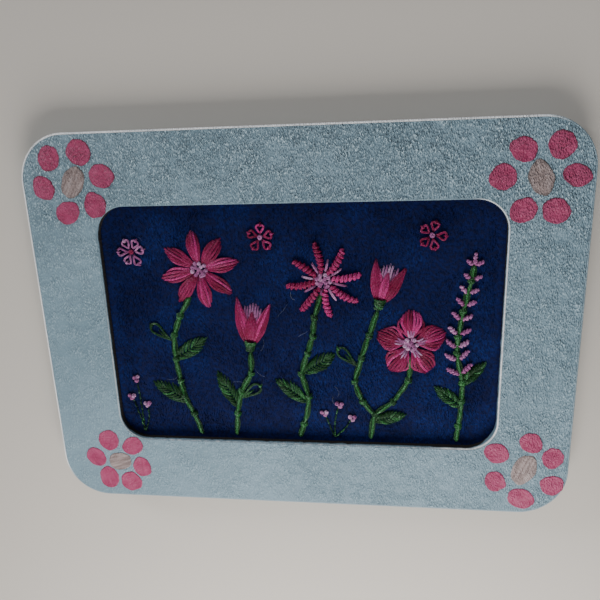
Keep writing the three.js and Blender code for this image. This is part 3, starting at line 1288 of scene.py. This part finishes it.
def broadBlossom(skeins, centre, radius, petals, turn, rng):
    # Broad satin petals with rounded rims, each with three short pale stitches at its root.
    for angle in petalAngles(petals, turn, 0.05, rng):
        base = centre + turned(angle, 2.2)
        tip = centre + turned(angle, radius * rng.uniform(0.95, 1.04))
        satinPetal(skeins["magenta"], base, tip, "blossom", rng, rng.uniform(0.96, 1.04))
        for place in (-1, 0, 1):
            start = centre + turned(angle + place * 0.2, 2.4)
            reach = radius * rng.uniform(0.5, 0.6) * (1 - 0.12 * abs(place))
            end = centre + turned(angle + place * 0.2, reach)
            straightStitch(skeins["lilac"], start, end, rng, 0.34, 1.45, plies=3)
    knotHeart(skeins["lilac"], centre, 2.2, rng)


def lazyDaisy(skeins, colour, centre, radius, petals, turn, rng):
    # Small filler flower: a ring of loops, each held at its tip, round one knot.
    for angle in petalAngles(petals, turn, 0.1, rng):
        base = centre + turned(angle, 1.0)
        tip = centre + turned(angle, radius * rng.uniform(0.9, 1.05))
        chainLoop(skeins[colour], base, tip, 3.1, rng, 0.42)
    knotStitch(skeins["magenta" if colour == "lilac" else "lilac"], centre, 1.1, rng)


def knotSpray(skeins, foot, branches, rng):
    # Fine single-thread twigs that end in pale knots.
    for tip in branches:
        end = flat(*tip)
        bend = sideOf(end - foot) * rng.uniform(-1.4, 1.4)
        route = smoothRoute([foot, foot.lerp(end, 0.5) + bend, end], 2.6)
        for start, finish in zip(route, route[1:]):
            straightStitch(skeins["green"], start, finish, rng, 0.3, 0.45, plies=3)
        for number in range(3):
            away = turned(fullTurn * number / 3 + rng.random(), 0.95)
            knotStitch(skeins["lilac"], end + away, rng.uniform(0.85, 1.05), rng)


def tulipBud(skeins, foot, direction, height, rng):
    # Three satin petals, the middle one on top, over a pale inner petal and a wrapped cup.
    axis = direction.normalized()
    side = sideOf(axis)
    for number in range(7):  # the inner petal's top is ragged
        place = (number - 3) / 3
        start = foot + side * place * 1.6 + axis * 2.5
        end = foot + side * place * 3.1 + axis * (height * rng.uniform(0.84, 0.95) - abs(place) * 1.2)
        straightStitch(skeins["lilac"], start, end, rng, 0.5, 0.45, place * 0.4)
    for hand in (1, -1):
        base = foot + side * hand * 1.2 + axis * 0.6
        tip = foot + side * hand * height * 0.36 + axis * height * rng.uniform(0.92, 1.0)
        satinPetal(skeins["magenta"], base, tip, "tulipSide", rng)
    satinPetal(skeins["magenta"], foot + axis * 0.4, foot + axis * height * 0.74, "tulipFront", rng)
    wrappedCup(skeins["green"], foot - axis * 2.6, axis, 1.9, 3.8, rng)


def knotSpike(skeins, route, rng):
    # Pairs of small bullions up the stem, shorter towards the top, where knots end it.
    pairs = 9
    last = len(route) - 1
    first = round(len(route) * 0.4)
    for number in range(pairs):
        share = number / (pairs - 1)
        index = round(mix(first, last - 2, share))
        along = (route[min(index + 1, last)] - route[index - 1]).normalized()
        taper = mix(1.0, 0.55, share)
        for hand in (1, -1):
            out = (sideOf(along) * hand * 0.85 + along * 0.6).normalized()
            base = route[index] + out * 0.8
            tip = base + out * 4.6 * taper
            bullionStitch(skeins["lilac"], base, tip, rng, core=0.4 * taper + 0.3, thick=0.48, pitch=1.2)
    upward = (route[-1] - route[-3]).normalized()
    for reach in (0.2, 1.7, 3.0):
        knotStitch(skeins["lilac"], route[-1] + upward * reach, mix(1.05, 0.8, reach / 3), rng)


# The picture: a loose row of plants that rise from the lower edge

plants = {  # leaves and loops are base, tip and width, and flowers are middle, radius, petals and turn
    "tall_daisy": {
        "stems": (((-41, -47), (-46, -32), (-50, -12), (-46, 4), (-41, 13)),),
        "leaves": (((-46, -31), (-60, -23), 6.8), ((-49.5, -13), (-36, -4), 6.4)),
        "loops": (((-50, -6), (-58, 1), 4.2),),
        "daisies": (((-37, 23), 15.4, 8, 10),),
        "florets": (("lilac", (-63, 30), 5.2, 6, 5),),
    },
    "tulip": {
        "stems": (((-27, -47), (-26, -34), (-20, -20), (-19, -9)),),
        "leaves": (((-25.5, -33), (-33, -18), 6.0),),
        "loops": (((-25, -30), (-16, -24), 4.4),),
        "buds": (((-19, -6.5), (0.12, 1.0), 18.0),),
        "florets": (("magenta", (-13, 35), 4.8, 5, 20),),
    },
    "bullion_daisy": {
        "stems": (((-1, -47), (3, -34), (1, -16), (5, -3), (9.4, 14.5)),),
        "leaves": (((2, -30), (-10, -21), 6.0), ((2, -18), (14, -10), 6.4)),
        "bullions": (((10, 18.5), 14.0, 8, 10),),
    },
    "broad_blossom": {
        "stems": (
            ((27, -47), (29, -36), (37, -27), (41.5, -19), (42, -10)),
            ((29, -36), (22, -24), (23, -12), (30, 8)),
        ),
        "leaves": (((28.5, -38), (41, -35), 5.6),),
        "loops": (((23, -16), (15, -8), 4.0),),
        "blossoms": (((42, -6), 13.2, 5, 18),),
        "buds": (((30.6, 10.5), (0.28, 1.0), 16.0),),
        "florets": (("magenta", (49, 35), 4.8, 5, 0),),
    },
    "spike": {
        "stems": (((60, -47), (62, -30), (58.5, -8), (61, 12), (64, 25)),),
        "leaves": (((61.5, -31), (51, -23), 5.2), ((61, -22), (70, -13), 4.8)),
        "spikes": True,
    },
    "left_spray": {"sprays": (((-66, -46), ((-70, -30), (-63.5, -33), (-67, -22))),)},
    "middle_spray": {"sprays": (((13, -46), ((9, -35), (15, -31), (20, -37))),)},
}


def stitchPlant(name, plan):
    rng = random.Random(name)
    skeins = {colour: newSkein() for colour in threads}
    green = skeins["green"]
    routes = [laidStem(green, spots, rng) for spots in plan.get("stems", ())]
    for base, tip, width in plan.get("leaves", ()):
        fishboneLeaf(green, flat(*base), flat(*tip), width, rng)
    for base, tip, width in plan.get("loops", ()):
        chainLoop(green, flat(*base), flat(*tip), width, rng)
        straightStitch(green, flat(*base), flat(*base).lerp(flat(*tip), 0.7), rng, 0.45, 0.4)
    for foot, direction, height in plan.get("buds", ()):
        tulipBud(skeins, flat(*foot), flat(*direction), height, rng)
    flowers = {"daisies": satinDaisy, "bullions": bullionDaisy, "blossoms": broadBlossom}
    for kind, makeFlower in flowers.items():
        for centre, radius, petals, turn in plan.get(kind, ()):
            makeFlower(skeins, flat(*centre), radius, petals, turn, rng)
    for colour, centre, radius, petals, turn in plan.get("florets", ()):
        lazyDaisy(skeins, colour, flat(*centre), radius, petals, turn, rng)
    for foot, branches in plan.get("sprays", ()):
        knotSpray(skeins, flat(*foot), branches, rng)
    if plan.get("spikes"):
        knotSpike(skeins, routes[0], rng)
    used = {colour: skein for colour, skein in skeins.items() if skein["points"]}
    return [spinThreads(f"{name}_{colour}", skein, threads[colour], colour + "_thread")
            for colour, skein in used.items()]


stitched = [piece for name, plan in plants.items() for piece in stitchPlant(name, plan)]


# The velvet sheet, dimpled where threads go through

def makeVelvet():
    width = groundHigh.x - groundLow.x
    height = groundHigh.y - groundLow.y
    columns, rows = round(width / velvet["cell"]), round(height / velvet["cell"])
    cellX, cellY = width / columns, height / rows

    def gridSpot(i, j):
        return groundLow.x + i * cellX, groundLow.y + j * cellY

    tops = [[velvetHeight(*gridSpot(i, j)) for i in range(columns + 1)] for j in range(rows + 1)]
    span = 3  # cells on each side of a hole that its dimple reaches
    for x, y in needleHoles:
        nearI, nearJ = round((x - groundLow.x) / cellX), round((y - groundLow.y) / cellY)
        for j in range(max(nearJ - span, 1), min(nearJ + span + 1, rows)):
            for i in range(max(nearI - span, 1), min(nearI + span + 1, columns)):
                spotX, spotY = gridSpot(i, j)
                away = math.hypot(spotX - x, spotY - y)
                dip = velvet["holeDepth"] * math.exp(-((away / velvet["holeReach"]) ** 2))
                tops[j][i] = min(tops[j][i], velvetHeight(spotX, spotY) - dip)
    corner = velvet["corner"]
    points = []
    for side in ("top", "under"):
        for j in range(rows + 1):
            for i in range(columns + 1):
                x, y = gridSpot(i, j)
                pastX = max(abs(x) - groundHigh.x + corner, 0)
                pastY = max(abs(y) - groundHigh.y + corner, 0)
                past = Vector((pastX, pastY))
                if pastX and pastY and past.length > corner:  # round the sheet's corner
                    past -= past.normalized() * corner
                    x -= math.copysign(past.x, x)
                    y -= math.copysign(past.y, y)
                z = tops[j][i] if side == "top" else velvetHeight(x, y) - velvet["thickness"]
                points.append((x, y, z))
    row = columns + 1
    layer = row * (rows + 1)
    faces = []
    for j in range(rows):
        for i in range(columns):
            a = j * row + i
            faces.append((a, a + 1, a + row + 1, a + row))
            faces.append((layer + a, layer + a + row, layer + a + row + 1, layer + a + 1))
    rim = [*range(columns)] + [j * row + columns for j in range(rows)]
    rim += [rows * row + i for i in range(columns, 0, -1)] + [j * row for j in range(rows, 0, -1)]
    for a, b in zip(rim, rim[1:] + rim[:1]):
        faces.append((a, layer + a, layer + b, b))
    return makePiece("velvet_sheet", points, faces)


velvetSheet = makeVelvet()
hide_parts("velvet_ground")
finishPiece(velvetSheet, navyVelvet)


# Nap: short fibres that stand up where the pile was brushed, and a few hairs of lint

nap = {
    "perSquareMetre": 3.0e6,
    "length": 0.0011,  # of one fibre, in metres
    "width": 0.00008,
    "lean": (0.15, -0.55, 0.0),  # a fibre's direction is the sum of these three
    "upright": 0.55,
    "swirl": 2.6,
    "sizes": (0.4, 1.6),  # least and most share of the length
    "cell": 1.0,
    "clear": 2.8,  # nothing stands up this close to the window's wall
    "hairs": 10,  # of lint
}


def makeNapTree():
    tree, given, result = newGroup(
        "brushedNap",
        "GeometryNodeTree",
        {
            "Cloth": ("Geometry", None),
            "Fibres per square metre": ("Float", 1.0e6),
            "Fibre length": ("Float", 0.0007),
            "Fibre width": ("Float", 0.0001),
            "Lean": ("Vector", (0.0, -0.5, 0.0)),
            "Seed": ("Int", 3),
            "Nap": ("Material", None),
        },
        {"Fibres": "Geometry"},
    )
    brushed = namedValue(tree, "brushed")
    scattered = addNode(tree, "GeometryNodeDistributePointsOnFaces", {
        "Mesh": given["Cloth"],
        "Density": calc(tree, "MULTIPLY", given["Fibres per square metre"], brushed),
        "Seed": given["Seed"],
    }, distribute_method="RANDOM").outputs
    place = addNode(tree, "GeometryNodeInputPosition").outputs[0]
    swirl = cloudNoise(tree, place, 70.0, 3.0, "Color")
    swirl = scaleVector(tree, calcVector(tree, "SUBTRACT", swirl, (0.5, 0.5, 0.5)), nap["swirl"])
    leaning = calcVector(tree, "ADD", swirl, given["Lean"])
    direction = calcVector(tree, "ADD", leaning, (0.0, 0.0, nap["upright"]))
    turn = addNode(tree, "FunctionNodeAlignRotationToVector", {"Vector": direction}, axis="Z").outputs[0]
    fibre = addNode(tree, "GeometryNodeMeshCone", {
        "Vertices": 3,
        "Radius Top": 0.0,
        "Radius Bottom": given["Fibre width"],
        "Depth": given["Fibre length"],
    }).outputs[0]
    size = addNode(tree, "FunctionNodeRandomValue", {"Seed": given["Seed"]}, data_type="FLOAT")
    size.inputs[2].default_value, size.inputs[3].default_value = nap["sizes"]
    copies = addNode(tree, "GeometryNodeInstanceOnPoints", {
        "Points": scattered["Points"],
        "Instance": fibre,
        "Rotation": turn,
        "Scale": size.outputs[1],
    }).outputs[0]
    tree.links.new(realWith(tree, copies, given["Nap"]), result["Fibres"])
    return tree


def makeNap():
    columns, rows = round(2 * windowHalf.x / nap["cell"]), round(2 * windowHalf.y / nap["cell"])
    points, brushed, faces = [], [], []
    for j in range(rows + 1):
        for i in range(columns + 1):
            x = mix(-windowHalf.x, windowHalf.x, i / columns)
            y = mix(-windowHalf.y, windowHalf.y, j / rows)
            patch = softNoise(x, y, 17, 12.0) + 0.35 * softNoise(x, y, 5, 13.0)
            share = mix(0.35, 1.0, smoothstep(-0.25, 0.6, patch))
            points.append((x, y, velvetHeight(x, y)))
            brushed.append(share if insideWindow(x, y) > nap["clear"] else 0.0)
    row = columns + 1
    for j in range(rows):
        for i in range(columns):
            a = j * row + i
            faces.append((a, a + 1, a + row + 1, a + row))
    field = makePiece("nap_field", points, faces, {"brushed": brushed})
    inputs = {
        "Fibres per square metre": nap["perSquareMetre"],
        "Fibre length": nap["length"],
        "Fibre width": nap["width"],
        "Lean": nap["lean"],
        "Nap": napFibres,
    }
    fibres = growNodes(field, makeNapTree(), inputs, "velvet_nap")
    finishPiece(fibres, napFibres)
    return fibres


def makeLint():
    rng = random.Random("lint")
    skein = newSkein()
    for number in range(nap["hairs"]):
        spot = flat(rng.uniform(-0.9, 0.9) * windowHalf.x, rng.uniform(-0.85, 0.85) * windowHalf.y)
        heading = rng.random() * fullTurn
        curl = rng.uniform(-0.12, 0.12)
        steps = rng.randint(7, 24)
        path = []
        for i in range(steps):
            heading += curl + 0.35 * softNoise(i, 5.0 * number, 4.0)
            spot = spot + turned(heading, 0.3)
            path.append(onVelvet(spot, 0.35 + 0.5 * math.sin(math.pi * i / (steps - 1))))
        layThread(skein, path, 0.05, rng, 1)
    return spinThreads("lint_hairs", skein, lintHair, "velvet", Sides=4)


stitched.append(makeNap())
stitched.append(makeLint())


# Backing board keeps its CAD shape

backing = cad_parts["backing_board"]
backing.data.materials.clear()
backing.data.materials.append(hardboard)


# Camera, lights and floor

view = {
    "lens": 36.03,
    "sensor": 36.0,
    "aim": (1.4, 12.0),  # where the middle of the view meets the face
    "distance": 221.7,
    "lean": 16.0,  # degrees from square-on towards the top edge
    "swing": 7.55,  # degrees towards the right
    "roll": -2.1,
}


def makeCamera():
    lean, swing = math.radians(view["lean"]), math.radians(view["swing"])
    back = Vector((math.sin(swing), math.sin(lean) * math.cos(swing), math.cos(lean) * math.cos(swing)))
    aim = Vector((*view["aim"], boardHigh.z))
    right = Vector((0, 1, 0)).cross(back).normalized()
    up = back.cross(right)
    matrix = Matrix((right, up, back)).transposed().to_4x4()
    camera = newObject("camera", bpy.data.cameras.new("camera"))
    camera.data.lens = view["lens"]
    camera.data.sensor_width = view["sensor"]
    camera.data.clip_start = 0.01
    matrix = matrix @ Matrix.Rotation(math.radians(view["roll"]), 4, "Z")
    camera.matrix_world = Matrix.Translation((aim + back * view["distance"]) * mm) @ matrix
    bpy.context.scene.camera = camera


studio = {
    "floorReach": 3.0,
    "floorDrop": 0.0002,
    "floor": linear(206, 198, 188),
    "lights": (  # name, place, aim, size, power and colour, in metres and watts
        ("room", (0.03, -0.31, 0.23), (0.0, -0.04, 0), (0.3, 0.25), 2.0, (1.0, 0.99, 0.97)),
        ("window", (-1.3, 0.75, 0.4), (0, 0, 0), (0.42, 0.42), 12.0, (0.97, 0.98, 1.0)),
        ("sky", (0.0, 0.6, 0.62), (0, 0, 0), (0.7, 0.7), 1.3, (0.92, 0.96, 1.0)),
    ),
    "air": (0.8, 0.85, 0.92, 1),
    "airStrength": 0.2,
}


def addLight(name, place, aim, size, power, colour):
    light = bpy.data.lights.new(name, "AREA")
    light.shape = "RECTANGLE"
    light.size, light.size_y = size
    light.energy = power
    light.color = colour
    lamp = newObject(name, light)
    lamp.location = place
    lamp.rotation_euler = (Vector(place) - Vector(aim)).to_track_quat("Z", "Y").to_euler()


def makeStage():
    reach = studio["floorReach"]
    corners = [(-reach, -reach, 0), (reach, -reach, 0), (reach, reach, 0), (-reach, reach, 0)]
    mesh = bpy.data.meshes.new("floor")
    mesh.from_pydata(corners, [], [(0, 1, 2, 3)])
    floor = newObject("floor", mesh)
    floor.location.z = -studio["floorDrop"]
    material = newMaterial("paleFloor", **{"Base Color": studio["floor"], "Roughness": 0.8})[0]
    floor.data.materials.append(material)
    for light in studio["lights"]:
        addLight(*light)
    world = bpy.data.worlds.new("room")
    world.use_nodes = True
    background = world.node_tree.nodes["Background"].inputs
    background["Color"].default_value = studio["air"]
    background["Strength"].default_value = studio["airStrength"]
    bpy.context.scene.world = world


makeCamera()
makeStage()
